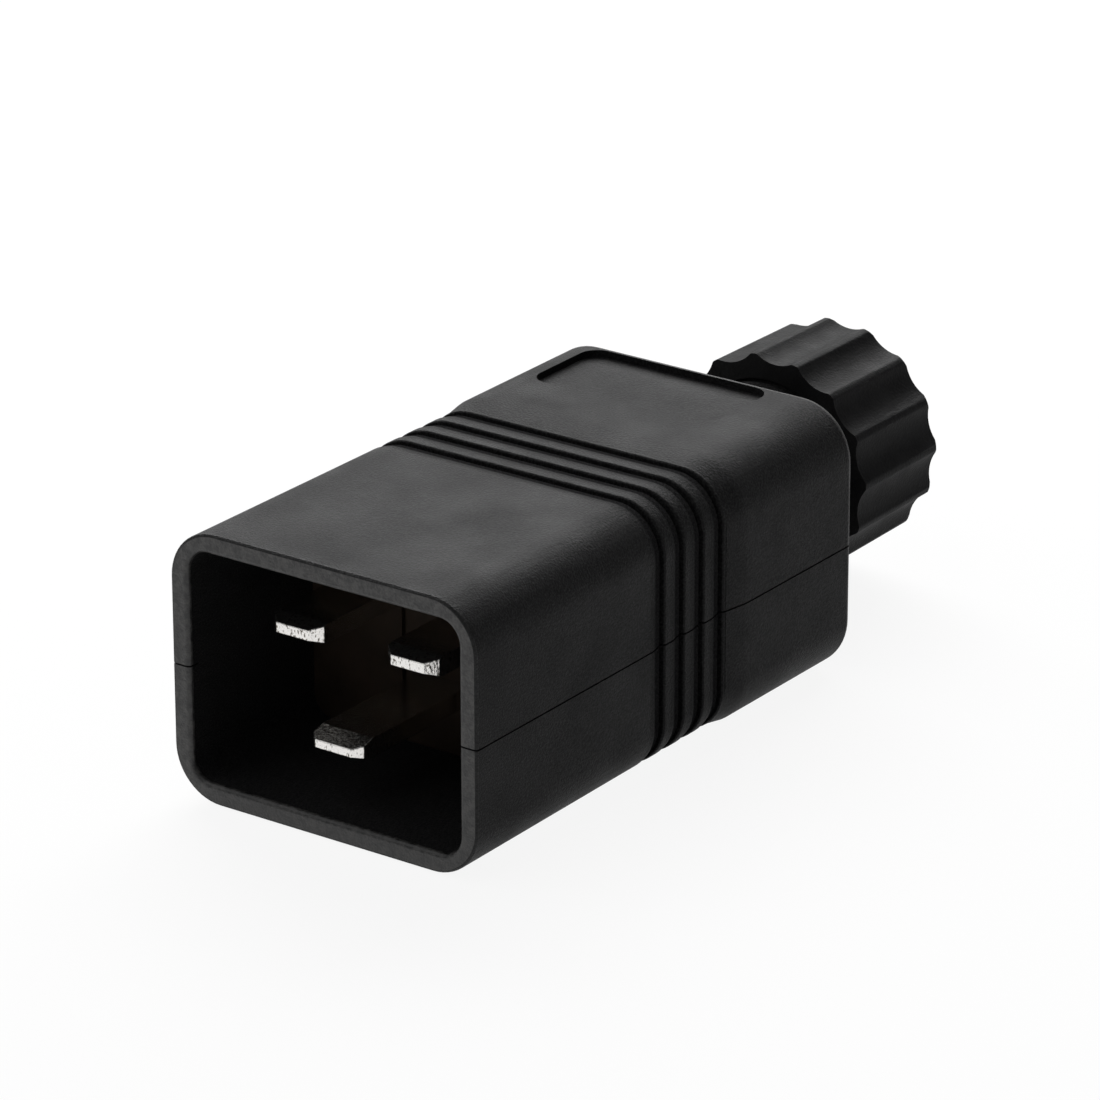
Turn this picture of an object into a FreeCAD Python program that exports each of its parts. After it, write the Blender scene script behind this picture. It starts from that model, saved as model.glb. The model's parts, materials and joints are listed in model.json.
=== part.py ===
import FreeCAD, Part
import math
import os
import re
import Sketcher

# Rewireable power plug: a two-part moulded housing with a rectangular shroud, three flat blades
# on an insulating block, clamp terminals behind them, and a fluted screw gland for the cable.
#
# Working frame: x to the right, y back from the mouth of the shroud, z up from its mid-height.
# Each sub-part is then placed so that the plug lies on z = 0 with its middle over the origin.

# Driving dimensions, in millimetres, with what each one measures.
DIMENSIONS = (
    ("shroud_width", 34.4, "outer width at the mouth"),
    ("shroud_height", 26.7, "outer height at the mouth"),
    ("shroud_corner", 5.1, "outer corner radius at the mouth"),
    ("grip_inset", 0.2, "how far the end of the grip lies inside the mouth's outline"),
    ("rim_bevel", 0.2, "bevel of the mouth's outer edge"),
    ("mouth_round", 0.5, "rounding of the mouth's inner edge"),
    ("wall", 2.0, "housing wall"),
    ("cavity_corner", 2.2, "inner corner radius of the shroud"),
    ("chamber_corner", 3.6, "corner radius of the wiring chamber"),
    ("cavity_depth", 18.3, "mouth to the contact block's face"),
    ("seat_step", 0.4, "how far the block's seat stands outside the cavity"),
    ("seat_length", 8.2, "length of the block's seat"),
    ("rib_width", 26.0, "opening of the rib behind the block"),
    ("rib_height", 18.0, "opening of the rib behind the block"),
    ("rib_length", 1.5, "thickness of that rib"),
    ("groove_first", 29.04, "mouth to the middle of the first grip groove"),
    ("groove_pitch", 3.185, "spacing of the grip grooves"),
    ("groove_width", 0.4, "width of a grip groove's floor"),
    ("groove_depth", 0.85, "depth of a grip groove"),
    ("groove_count", 4, "grip grooves"),
    ("rib_fall", 1.45, "length of the slope in which each rib falls towards the groove behind it"),
    ("rib_fall_depth", 0.3, "depth of that slope at the groove"),
    ("rear_lip", 0.15, "bevel of a groove's edge on the gland's side"),
    ("ramp_start", 39.2, "where the rear part begins to swell"),
    ("ramp_end", 42.0, "where the swelling ends"),
    ("ramp_rise", 0.45, "height of the ramp"),
    ("rear_width", 35.0, "width of the rear part"),
    ("rear_height", 27.2, "height of the rear part"),
    ("rear_corner", 5.6, "corner radius of the rear part"),
    ("rear_round", 0.9, "rounding of the rear face's edge"),
    ("body_length", 60.0, "mouth to rear face"),
    ("rear_wall", 2.2, "thickness of the rear wall"),
    ("parting_drop", 0.3, "parting plane below mid-height"),
    ("parting_gap", 0.16, "fine gap seen along the parting line"),
    ("tongue_height", 1.0, "tongue of the lower half"),
    ("tongue_inset", 1.3, "tongue set in from the outer face"),
    ("panel_width", 21.0, "recessed panel on the roof"),
    ("panel_length", 10.6, "recessed panel on the roof"),
    ("panel_corner", 2.0, "corner radius of the panel"),
    ("panel_depth", 0.7, "depth of the panel"),
    ("panel_shift", 1.7, "panel middle left of the plug's middle"),
    ("panel_station", 53.7, "mouth to the panel's middle"),
    ("boss_offset", 10.0, "case screws each side of the middle"),
    ("boss_station", 50.0, "mouth to the case screws"),
    ("lower_boss", 4.0, "radius of the lower screw boss"),
    ("upper_boss", 3.2, "radius of the upper screw boss"),
    ("counterbore", 3.0, "radius of the case screw's recess"),
    ("head_seat", 4.0, "underside to the case screw's seat"),
    ("case_hole", 1.7, "clearance hole of the case screw"),
    ("pilot_hole", 1.45, "hole that the case screw bites in"),
    ("pilot_depth", 8.6, "depth of that hole above the parting plane"),
    ("case_screw", 1.4, "shank radius of the case screw"),
    ("case_screw_length", 16.0, "shank length of the case screw"),
    ("case_head", 2.7, "head radius of the case screw"),
    ("case_head_height", 1.8, "head height of the case screw"),
    ("spigot_radius", 8.5, "threaded spigot, at the thread's root"),
    ("spigot_bore", 7.2, "bore of the spigot"),
    ("spigot_end", 75.0, "mouth to the spigot's end"),
    ("key_width", 1.4, "keys that stop the collet turning"),
    ("key_reach", 7.7, "outer radius of the keys"),
    ("key_play", 0.2, "play of a key in its way"),
    ("key_start", 70.0, "mouth to the keys' front end"),
    ("key_length", 6.0, "length of the keys"),
    ("nut_front", 71.4, "mouth to the gland nut's front face"),
    ("nut_length", 13.2, "length of the gland nut"),
    ("nut_front_radius", 11.6, "crest radius at the nut's front"),
    ("nut_rear_radius", 11.45, "crest radius at the nut's rear"),
    ("nut_bevel", 0.3, "bevel of the nut's rear edges"),
    ("nut_bore", 9.05, "bore of the nut, at the thread's root"),
    ("nut_rear_wall", 2.6, "thickness of the nut's rear wall"),
    ("nut_hole", 6.2, "cable hole in the nut's rear wall"),
    ("flute_count", 15, "flutes round the nut"),
    ("flute_depth", 0.77, "depth of a flute below the crests"),
    ("flute_radius", 4.0, "hollow of a flute"),
    ("flute_turn", 2.5, "degrees from the side to the nearest crest"),
    ("crest_round", 0.5, "rounding of the crests between the flutes"),
    ("slip_length", 0.8, "thickness of the slip ring"),
    ("flange_length", 1.6, "thickness of the collet's flange"),
    ("flange_radius", 8.8, "radius of the collet's flange"),
    ("collet_outer", 6.95, "outside of the collet's fingers"),
    ("collet_inner", 6.3, "inside of the collet's fingers"),
    ("collet_start", 69.0, "mouth to the fingers' tips"),
    ("slit_width", 0.8, "slits between the fingers"),
    ("slit_length", 8.0, "slits between the fingers"),
    ("slit_count", 6, "slits between the fingers"),
    ("seal_outer", 6.25, "outside of the cable seal"),
    ("seal_bore", 5.0, "bore of the cable seal"),
    ("seal_start", 70.0, "mouth to the seal's front end"),
    ("seal_length", 9.0, "length of the cable seal"),
    ("pin_spacing", 13.0, "line to neutral blade"),
    ("live_height", 4.0, "line and neutral blades above mid-height"),
    ("earth_drop", 4.95, "earth blade below mid-height"),
    ("pin_width", 5.8, "width of a blade"),
    ("pin_thickness", 2.0, "thickness of a blade"),
    ("live_tip", 4.0, "mouth to the line and neutral tips"),
    ("live_tip_corner", 1.1, "corner cut off the line and neutral tips"),
    ("live_tip_height", 1.0, "flat of the line and neutral tips"),
    ("live_taper", 1.6, "length of the line and neutral points"),
    ("earth_tip", 1.4, "mouth to the earth tip"),
    ("earth_tip_corner", 0.9, "corner cut off the earth tip"),
    ("earth_tip_height", 0.8, "flat of the earth tip"),
    ("earth_taper", 2.3, "length of the earth blade's point"),
    ("tail_width", 6.4, "width of a blade's tail"),
    ("shoulder_depth", 5.2, "block face to the blade's shoulder"),
    ("tail_overhang", 0.5, "tail standing out behind its cage"),
    ("block_play", 0.05, "play round the contact block"),
    ("block_length", 8.1, "length of the contact block"),
    ("barrier_thickness", 1.2, "walls between the terminals"),
    ("barrier_width", 24.0, "wall under the line and neutral terminals"),
    ("barrier_level", 0.9, "middle of that wall above mid-height"),
    ("barrier_height", 7.4, "wall between line and neutral"),
    ("barrier_length", 10.6, "walls behind the block"),
    ("seam_offset", 4.6, "fine slots in the block's face, from the middle"),
    ("seam_width", 0.5, "width of those slots"),
    ("seam_depth", 0.5, "depth of those slots"),
    ("cage_width", 7.4, "width of a clamp cage"),
    ("cage_length", 7.0, "length of a clamp cage"),
    ("cage_wall", 1.0, "wall of a clamp cage"),
    ("cage_window", 5.1, "height of a clamp cage's window"),
    ("live_cage", 29.5, "mouth to the line and neutral cages"),
    ("earth_cage", 38.5, "mouth to the earth cage"),
    ("plate_width", 5.2, "width of a pressure plate"),
    ("plate_length", 6.0, "length of a pressure plate"),
    ("plate_thickness", 0.8, "thickness of a pressure plate"),
    ("terminal_screw", 1.7, "shank radius of a terminal screw"),
    ("terminal_play", 0.05, "play of a terminal screw in its cage"),
    ("terminal_reach", 2.0, "terminal screw below the cage's top"),
    ("terminal_lift", 0.1, "terminal screw's head above the cage"),
    ("terminal_head", 2.6, "head radius of a terminal screw"),
    ("terminal_head_height", 1.7, "head height of a terminal screw"),
    ("slot_width", 0.7, "driver slot"),
    ("slot_depth", 0.8, "driver slot"),
    ("cutter_margin", 4.0, "how far a cutting shape stands clear"),
)
ALIASES = {alias for alias, _, _ in DIMENSIONS}
FULL_TURN = 360.0
QUARTER_TURN = 90.0

# Places worked out from the dimensions, written as formulas.
HALF_WIDTH = "shroud_width / 2"
HALF_HEIGHT = "shroud_height / 2"
REAR_HALF_HEIGHT = "rear_height / 2"
NUT_REAR = "(nut_front + nut_length)"
NUT_SEAT = "(nut_front + nut_length - nut_rear_wall)"
SLIP_FRONT = f"({NUT_SEAT} - slip_length)"
FLANGE_FRONT = f"({SLIP_FRONT} - flange_length)"
CAVITY_HALF_WIDTH = "(shroud_width / 2 - wall)"
CAVITY_HALF_HEIGHT = "(shroud_height / 2 - wall)"
SEAT_END = "(cavity_depth + seat_length)"
RIB_END = "(cavity_depth + seat_length + rib_length)"
CHAMBER_END = "(body_length - rear_wall)"
BLOCK_END = "(cavity_depth + block_length)"
SHOULDER = "(cavity_depth + shoulder_depth)"
PIN_OFFSET = "pin_spacing / 2"


class Plug:
    """The document and its sheet, shared by the functions below."""
    document = None
    sheet = None


def formula(text):
    """Point each alias in a formula at the sheet."""
    def address(word):
        return f"params.{word.group()}" if word.group() in ALIASES else word.group()
    return re.sub(r"[a-z]\w*", address, text)


def size(text):
    """The present value of a formula."""
    return float(Plug.sheet.evalExpression(formula(text)))


def bind(thing, prop, text):
    thing.setExpression(prop, formula(text))


def start_document():
    Plug.document = FreeCAD.newDocument("power_plug")
    Plug.sheet = Plug.document.addObject("Spreadsheet::Sheet", "params")
    for row, (alias, value, note) in enumerate(DIMENSIONS, start=1):
        Plug.sheet.set(f"A{row}", note)
        Plug.sheet.set(f"B{row}", str(value))
        Plug.sheet.setAlias(f"B{row}", alias)
    Plug.document.recompute()


# Sketches

def origin_feature(body, role):
    return next(part for part in body.Origin.OriginFeatures if part.Role == role)


def new_body(name):
    return Plug.document.addObject("PartDesign::Body", name)


def new_sketch(body, name, role):
    sketch = body.newObject("Sketcher::SketchObject", name)
    sketch.AttachmentSupport = (origin_feature(body, role), [""])
    sketch.MapMode = "FlatFace"
    return sketch


def section(body, name, station, right="0", up="0"):
    """A sketch across the plug, at a distance behind the mouth."""
    sketch = new_sketch(body, name, "XZ_Plane")
    bind(sketch, "AttachmentOffset.Base.x", right)
    bind(sketch, "AttachmentOffset.Base.y", up)
    bind(sketch, "AttachmentOffset.Base.z", f"-({station})")
    return sketch


def plan(body, name, level, right="0", back="0"):
    """A sketch seen from above, at a height over mid-height."""
    sketch = new_sketch(body, name, "XY_Plane")
    bind(sketch, "AttachmentOffset.Base.x", right)
    bind(sketch, "AttachmentOffset.Base.y", back)
    bind(sketch, "AttachmentOffset.Base.z", level)
    return sketch


def dimension(sketch, kind, first, second, text):
    """A distance between two points of a sketch, bound to a formula."""
    index = sketch.addConstraint(Sketcher.Constraint(kind, *first, *second, size(text)))
    bind(sketch, f"Constraints[{index}]", text)


def place_point(sketch, point, across, along):
    """Tie a point to the sketch's origin by two (direction, formula) distances."""
    origin = (-1, 1)
    for kind, axis, (direction, text) in (("DistanceX", -2, across), ("DistanceY", -1, along)):
        if text == "0":
            sketch.addConstraint(Sketcher.Constraint("PointOnObject", *point, axis))
        elif direction > 0:
            dimension(sketch, kind, origin, point, text)
        else:
            dimension(sketch, kind, point, origin, text)


def radius_of(sketch, curve, text):
    index = sketch.addConstraint(Sketcher.Constraint("Radius", curve, size(text)))
    bind(sketch, f"Constraints[{index}]", text)


def circle(sketch, radius):
    """A circle round the sketch's origin."""
    curve = sketch.addGeometry(Part.Circle(FreeCAD.Vector(), FreeCAD.Vector(0, 0, 1), size(radius)))
    sketch.addConstraint(Sketcher.Constraint("Coincident", curve, 3, -1, 1))
    radius_of(sketch, curve, radius)


def outline(sketch, corners):
    """A closed outline through corners given as two formulas each, all on the positive side."""
    points = [FreeCAD.Vector(size(across), size(along)) for across, along in corners]
    lines = []
    for start, end in zip(points, points[1:] + points[:1]):
        lines.append(sketch.addGeometry(Part.LineSegment(start, end)))
    for line, following in zip(lines, lines[1:] + lines[:1]):
        sketch.addConstraint(Sketcher.Constraint("Coincident", line, 2, following, 1))
    for line, (across, along) in zip(lines, corners):
        place_point(sketch, (line, 1), (1, across), (1, along))


def rectangle(sketch, half_width, half_height):
    """A rectangle round the sketch's origin."""
    reach = FreeCAD.Vector(size(half_width), size(half_height))
    quadrants = ((1, 1), (-1, 1), (-1, -1), (1, -1))
    points = [FreeCAD.Vector(right * reach.x, up * reach.y) for right, up in quadrants]
    lines = []
    for start, end in zip(points, points[1:] + points[:1]):
        lines.append(sketch.addGeometry(Part.LineSegment(start, end)))
    for line, following in zip(lines, lines[1:] + lines[:1]):
        sketch.addConstraint(Sketcher.Constraint("Coincident", line, 2, following, 1))
    for line, (right, up) in zip(lines, quadrants):
        place_point(sketch, (line, 1), (right, half_width), (up, half_height))


def rounded_rectangle(sketch, half_width, half_height, radius):
    """A rectangle with round corners, round the sketch's origin."""
    quadrants = ((1, 1), (-1, 1), (-1, -1), (1, -1))
    inset_width = f"({half_width}) - ({radius})"
    inset_height = f"({half_height}) - ({radius})"
    quarter = math.radians(QUARTER_TURN)
    arcs = []
    for step, (right, up) in enumerate(quadrants):
        centre = FreeCAD.Vector(right * size(inset_width), up * size(inset_height))
        round_corner = Part.Circle(centre, FreeCAD.Vector(0, 0, 1), size(radius))
        arcs.append(sketch.addGeometry(Part.ArcOfCircle(round_corner, step * quarter, (step + 1) * quarter)))
    for arc, following in zip(arcs, arcs[1:] + arcs[:1]):
        side = Part.LineSegment(sketch.Geometry[arc].EndPoint, sketch.Geometry[following].StartPoint)
        line = sketch.addGeometry(side)
        sketch.addConstraint(Sketcher.Constraint("Tangent", arc, 2, line, 1))
        sketch.addConstraint(Sketcher.Constraint("Tangent", line, 2, following, 1))
    for arc, (right, up) in zip(arcs, quadrants):
        place_point(sketch, (arc, 3), (right, inset_width), (up, inset_height))
    for arc in arcs[1:]:
        sketch.addConstraint(Sketcher.Constraint("Equal", arcs[0], arc))
    radius_of(sketch, arcs[0], radius)


# Features

def pad_back(body, sketch, length):
    """Raise a section towards the rear."""
    pad = body.newObject("PartDesign::Pad", f"{sketch.Name}_pad")
    pad.Profile = sketch
    pad.Reversed = True
    bind(pad, "Length", length)
    return pad


def pad_up(body, sketch, length):
    pad = body.newObject("PartDesign::Pad", f"{sketch.Name}_pad")
    pad.Profile = sketch
    bind(pad, "Length", length)
    return pad


def pocket(body, sketch, length):
    """Cut a section towards the rear, or a plan downwards."""
    cut = body.newObject("PartDesign::Pocket", f"{sketch.Name}_pocket")
    cut.Profile = sketch
    bind(cut, "Length", length)
    return cut


def loft(body, name, sketches):
    """Straight-sided transition through the sketches, in order."""
    piece = body.newObject("PartDesign::AdditiveLoft", name)
    piece.Profile = sketches[0]
    piece.Sections = sketches[1:]
    piece.Ruled = True
    return piece


def turn(body, sketch):
    """Turn a half profile (along the plug, outwards) about the cable's axis."""
    piece = body.newObject("PartDesign::Revolution", f"{sketch.Name}_turned")
    piece.Profile = sketch
    piece.ReferenceAxis = (sketch, ["H_Axis"])
    piece.Angle = FULL_TURN


def half_profile(body, name, corners):
    sketch = new_sketch(body, name, "YZ_Plane")
    outline(sketch, corners)
    return sketch


def ring_pattern(body, feature, count):
    """Repeat a feature round the cable's axis."""
    pattern = body.newObject("PartDesign::PolarPattern", f"{feature.Name}_ring")
    pattern.Originals = [feature]
    pattern.Axis = (origin_feature(body, "Y_Axis"), [""])
    pattern.Angle = FULL_TURN
    bind(pattern, "Occurrences", count)
    body.Tip = pattern
    return pattern


def edge_names(feature, wanted):
    """Names of the edges of a feature that a test picks out."""
    return [f"Edge{number}" for number, edge in enumerate(feature.Shape.Edges, start=1) if wanted(edge)]


def round_edges(body, feature, name, radius, wanted):
    Plug.document.recompute()
    fillet = body.newObject("PartDesign::Fillet", name)
    fillet.Base = (feature, edge_names(feature, wanted))
    bind(fillet, "Radius", radius)
    return fillet


def bevel_edges(body, feature, name, width, wanted):
    Plug.document.recompute()
    bevel = body.newObject("PartDesign::Chamfer", name)
    bevel.Base = (feature, edge_names(feature, wanted))
    bind(bevel, "Size", width)
    return bevel


def slope_edges(body, feature, name, length, depth, wanted):
    """Cut a slope along edges: a length on their first face and a depth on their second one."""
    slope = bevel_edges(body, feature, name, length, wanted)
    slope.ChamferType = "Two distances"
    bind(slope, "Size2", depth)
    return slope


def end_radius(edge):
    """How far the outer end of an edge lies from the cable's axis."""
    return max(math.hypot(end.Point.x, end.Point.z) for end in edge.Vertexes)


def lies_at_station(edge, station):
    tolerance = 1e-4
    return abs(edge.BoundBox.YMin - station) < tolerance and abs(edge.BoundBox.YMax - station) < tolerance


# Pieces made of simple solids

def block(name, low, high):
    """A box between two corners, each given as three formulas."""
    solid = Plug.document.addObject("Part::Box", name)
    for side, start, end in zip(("Length", "Width", "Height"), low, high):
        bind(solid, side, f"({end}) - ({start})")
    for axis, start in zip("xyz", low):
        bind(solid, f"Placement.Base.{axis}", start)
    return solid


def upright_cylinder(name, radius, centre, low, high):
    solid = Plug.document.addObject("Part::Cylinder", name)
    bind(solid, "Radius", radius)
    bind(solid, "Height", f"({high}) - ({low})")
    for axis, start in zip("xyz", (*centre, low)):
        bind(solid, f"Placement.Base.{axis}", start)
    return solid


def fuse(name, solids):
    joined = Plug.document.addObject("Part::MultiFuse", name)
    joined.Shapes = solids
    return joined


def boolean(kind, name, base, tool):
    result = Plug.document.addObject(f"Part::{kind}", name)
    result.Base = base
    result.Tool = tool
    return result


def group(name, solids):
    gathered = Plug.document.addObject("Part::Compound", name)
    gathered.Links = solids
    return gathered


def finish(piece, label):
    """Name a sub-part and put it where the plug lies on z = 0 with its middle over the origin."""
    piece.Label = label
    bind(piece, "Placement.Base.y", f"-{NUT_REAR} / 2")
    bind(piece, "Placement.Base.z", REAR_HALF_HEIGHT)
    return piece


# Housing

def rear_part(body):
    """The fuller rear part of the housing, with a round rear edge and a ramp up from the grip."""
    start = size("ramp_start")
    rear = size("body_length")
    sketch = section(body, "rear_section", "ramp_start")
    rounded_rectangle(sketch, "rear_width / 2", REAR_HALF_HEIGHT, "rear_corner")
    solid = pad_back(body, sketch, "body_length - ramp_start")
    rounded = round_edges(body, solid, "rear_edge", "rear_round", lambda edge: lies_at_station(edge, rear))
    ramp = bevel_edges(body, rounded, "ramp", "ramp_end - ramp_start",
                       lambda edge: lies_at_station(edge, start))
    ramp.ChamferType = "Two distances"
    bind(ramp, "Size2", "ramp_rise")


def front_part(body):
    """Shroud and grip in one slightly tapered form, with a bevelled outer edge at the mouth."""
    sketch = section(body, "mouth_section", "0")
    rounded_rectangle(sketch, HALF_WIDTH, HALF_HEIGHT, "shroud_corner")
    solid = pad_back(body, sketch, "ramp_start")
    bind(solid, "TaperAngle", "-atan(grip_inset / ramp_start)")
    bevel_edges(body, solid, "rim_edge", "rim_bevel", lambda edge: lies_at_station(edge, 0.0))


def housing_grooves(body):
    """The grip grooves, cut all round the housing."""
    sketch = section(body, "groove_section", "groove_first - groove_width / 2")
    rectangle(sketch, f"{HALF_WIDTH} + cutter_margin", f"{HALF_HEIGHT} + cutter_margin")
    floor_inset = "(grip_inset + groove_depth)"
    rounded_rectangle(sketch, f"{HALF_WIDTH} - {floor_inset}", f"{HALF_HEIGHT} - {floor_inset}",
                      f"shroud_corner - {floor_inset}")
    cut = pocket(body, sketch, "groove_width")
    grooves = body.newObject("PartDesign::LinearPattern", "grip_grooves")
    grooves.Originals = [cut]
    grooves.Direction = (origin_feature(body, "Y_Axis"), [""])
    bind(grooves, "Length", "groove_pitch * (groove_count - 1)")
    bind(grooves, "Occurrences", "groove_count")
    body.Tip = grooves
    return grooves


def bevel_groove_edges(body, grooves):
    """Let each rib fall in a long slope to the groove behind it, and bevel the groove's rear edge finely."""
    first = size("groove_first")
    pitch = size("groove_pitch")
    half = size("groove_width / 2")
    middles = [first + step * pitch for step in range(int(size("groove_count")))]
    half_way = "(grip_inset + groove_depth / 2)"
    side = size(f"{HALF_WIDTH} - {half_way}")
    roof = size(f"{HALF_HEIGHT} - {half_way}")

    def is_outside(edge):
        return any(abs(end.Point.x) > side or abs(end.Point.z) > roof for end in edge.Vertexes)

    def is_front_lip(edge):
        return is_outside(edge) and any(lies_at_station(edge, middle - half) for middle in middles)

    def is_rear_lip(edge):
        return is_outside(edge) and any(lies_at_station(edge, middle + half) for middle in middles)
    sloped = slope_edges(body, grooves, "rib_slopes", "rib_fall", "rib_fall_depth", is_front_lip)
    bevel_edges(body, sloped, "rear_lips", "rear_lip", is_rear_lip)


def housing_hollows(body):
    """Shroud cavity, seat of the contact block, retaining rib and wiring chamber, from front to rear."""
    seat_width = f"{CAVITY_HALF_WIDTH} + seat_step"
    seat_height = f"{CAVITY_HALF_HEIGHT} + seat_step"
    hollows = (
        ("cavity", "0", "cavity_depth", CAVITY_HALF_WIDTH, CAVITY_HALF_HEIGHT, "cavity_corner"),
        ("seat", "cavity_depth", SEAT_END, seat_width, seat_height, "cavity_corner"),
        ("rib_opening", SEAT_END, RIB_END, "rib_width / 2", "rib_height / 2", "chamber_corner"),
        ("chamber", RIB_END, CHAMBER_END, CAVITY_HALF_WIDTH, CAVITY_HALF_HEIGHT, "chamber_corner"),
    )
    for name, start, end, half_width, half_height, corner in hollows:
        sketch = section(body, f"{name}_section", start)
        rounded_rectangle(sketch, half_width, half_height, corner)
        cut = pocket(body, sketch, f"{end} - ({start})")
    round_mouth(body, cut)


def round_mouth(body, hollowed):
    """Round the inner edge of the mouth."""
    side = size(f"{CAVITY_HALF_WIDTH} + wall / 2")
    roof = size(f"{CAVITY_HALF_HEIGHT} + wall / 2")

    def is_inner(edge):
        inside = all(abs(end.Point.x) < side and abs(end.Point.z) < roof for end in edge.Vertexes)
        return inside and lies_at_station(edge, 0.0)
    round_edges(body, hollowed, "mouth_edge", "mouth_round", is_inner)


def housing_spigot(body):
    """The round spigot for the gland, its bore and the two keyways."""
    outside = section(body, "spigot_section", "body_length - rear_wall / 2")
    circle(outside, "spigot_radius")
    pad_back(body, outside, "spigot_end - body_length + rear_wall / 2")
    bore = section(body, "spigot_bore_section", CHAMBER_END)
    circle(bore, "spigot_bore")
    pocket(body, bore, f"spigot_end - {CHAMBER_END}")
    keyways = section(body, "keyway_section", "body_length", up="-parting_drop")
    rectangle(keyways, "key_reach + key_play", "key_width / 2 + key_play")
    pocket(body, keyways, "spigot_end - body_length")


def housing_form():
    """Both halves of the housing in one, before they are parted."""
    body = new_body("housing_form")
    rear_part(body)
    front_part(body)
    bevel_groove_edges(body, housing_grooves(body))
    housing_spigot(body)
    housing_hollows(body)
    return body


def half_spaces():
    """What lies below and above the stepped parting: a plane with a tongue inside the walls."""
    side = f"{HALF_WIDTH} + cutter_margin"
    top = f"{REAR_HALF_HEIGHT} + cutter_margin"
    front = "-cutter_margin"
    back = "spigot_end + cutter_margin"
    tongue_side = f"{HALF_WIDTH} - tongue_inset"
    tongue_floor = "-parting_drop - parting_gap / 2"
    tongue = block("tongue_space",
                   (f"-({tongue_side})", "tongue_inset", tongue_floor),
                   (tongue_side, "body_length - tongue_inset", "-parting_drop + tongue_height"))
    below = block("space_below", (f"-({side})", front, f"-({top})"), (side, back, tongue_floor))
    above = block("space_above", (f"-({side})", front, "-parting_drop + parting_gap / 2"), (side, back, top))
    return fuse("lower_space", [below, tongue]), boolean("Cut", "upper_space", above, tongue)


def boss_pair(name, radius, low, high):
    """The same upright cylinder at both case screws."""
    places = (("left", "-boss_offset"), ("right", "boss_offset"))
    return [upright_cylinder(f"{name}_{side}", radius, (offset, "boss_station"), low, high)
            for side, offset in places]


def panel_cutter():
    """The bare recessed panel on the rear of the roof."""
    body = new_body("panel_cutter")
    sketch = plan(body, "panel_plan", f"{REAR_HALF_HEIGHT} - panel_depth", "-panel_shift", "panel_station")
    rounded_rectangle(sketch, "panel_width / 2", "panel_length / 2", "panel_corner")
    pad_up(body, sketch, "panel_depth + cutter_margin")
    return body


def upper_shell(form, space):
    half = boolean("Common", "upper_half", form, space)
    roof = f"{CAVITY_HALF_HEIGHT} + wall / 2"
    bosses = boss_pair("upper_boss_solid", "upper_boss", "-parting_drop", roof)
    holes = boss_pair("pilot_hole_solid", "pilot_hole", "-parting_drop", "-parting_drop + pilot_depth")
    whole = fuse("upper_with_bosses", [half, *bosses])
    cuts = fuse("upper_cuts", [*holes, panel_cutter()])
    return finish(boolean("Cut", "upper_shell_cut", whole, cuts), "upper_shell")


def lower_shell(form, space):
    half = boolean("Common", "lower_half", form, space)
    underside = f"-({REAR_HALF_HEIGHT})"
    floor = f"-({CAVITY_HALF_HEIGHT} + wall / 2)"
    bosses = boss_pair("lower_boss_solid", "lower_boss", floor, "-parting_drop")
    recesses = boss_pair("counterbore_solid", "counterbore", underside, f"{underside} + head_seat")
    holes = boss_pair("case_hole_solid", "case_hole", underside, "-parting_drop")
    whole = fuse("lower_with_bosses", [half, *bosses])
    cuts = fuse("lower_cuts", [*recesses, *holes])
    return finish(boolean("Cut", "lower_shell_cut", whole, cuts), "lower_shell")


# Contacts and terminals

def blade_places():
    """Each blade: name, place across the plug, tip sizes and its cage's start."""
    live = ("live_height", "live_tip", "live_tip_corner", "live_tip_height", "live_taper", "live_cage")
    earth = ("-earth_drop", "earth_tip", "earth_tip_corner", "earth_tip_height", "earth_taper", "earth_cage")
    return (("line", f"-{PIN_OFFSET}", *live), ("neutral", PIN_OFFSET, *live), ("earth", "0", *earth))


def contact_block():
    """Insulating insert: a plate with stepped slots for the blades and walls between the terminals."""
    body = new_body("contact_block_body")
    half_width = f"{CAVITY_HALF_WIDTH} + seat_step - block_play"
    half_height = f"{CAVITY_HALF_HEIGHT} + seat_step - block_play"
    face = section(body, "block_face", "cavity_depth")
    rounded_rectangle(face, half_width, half_height, "cavity_corner")
    pad_back(body, face, "block_length")
    shelf = section(body, "barrier_shelf", BLOCK_END, up="barrier_level")
    rectangle(shelf, "barrier_width / 2", "barrier_thickness / 2")
    pad_back(body, shelf, "barrier_length")
    wall_middle = "barrier_level + barrier_height / 2"
    divider = section(body, "barrier_wall", BLOCK_END, up=wall_middle)
    rectangle(divider, "barrier_thickness / 2", "barrier_height / 2")
    pad_back(body, divider, "barrier_length")
    for name, right, up, *_ in blade_places():
        front = section(body, f"{name}_slot", "cavity_depth", right, up)
        rectangle(front, "pin_width / 2", "pin_thickness / 2")
        pocket(body, front, "block_length")
        rear = section(body, f"{name}_tail_slot", SHOULDER, right, up)
        rectangle(rear, "tail_width / 2", "pin_thickness / 2")
        pocket(body, rear, "block_length - shoulder_depth")
    for name, right in (("left", "-seam_offset"), ("right", "seam_offset")):
        seam = section(body, f"{name}_seam", "cavity_depth", right)
        rectangle(seam, "seam_width / 2", f"{CAVITY_HALF_HEIGHT} + seat_step")
        pocket(body, seam, "seam_depth")
    return finish(body, "contact_block")


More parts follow.
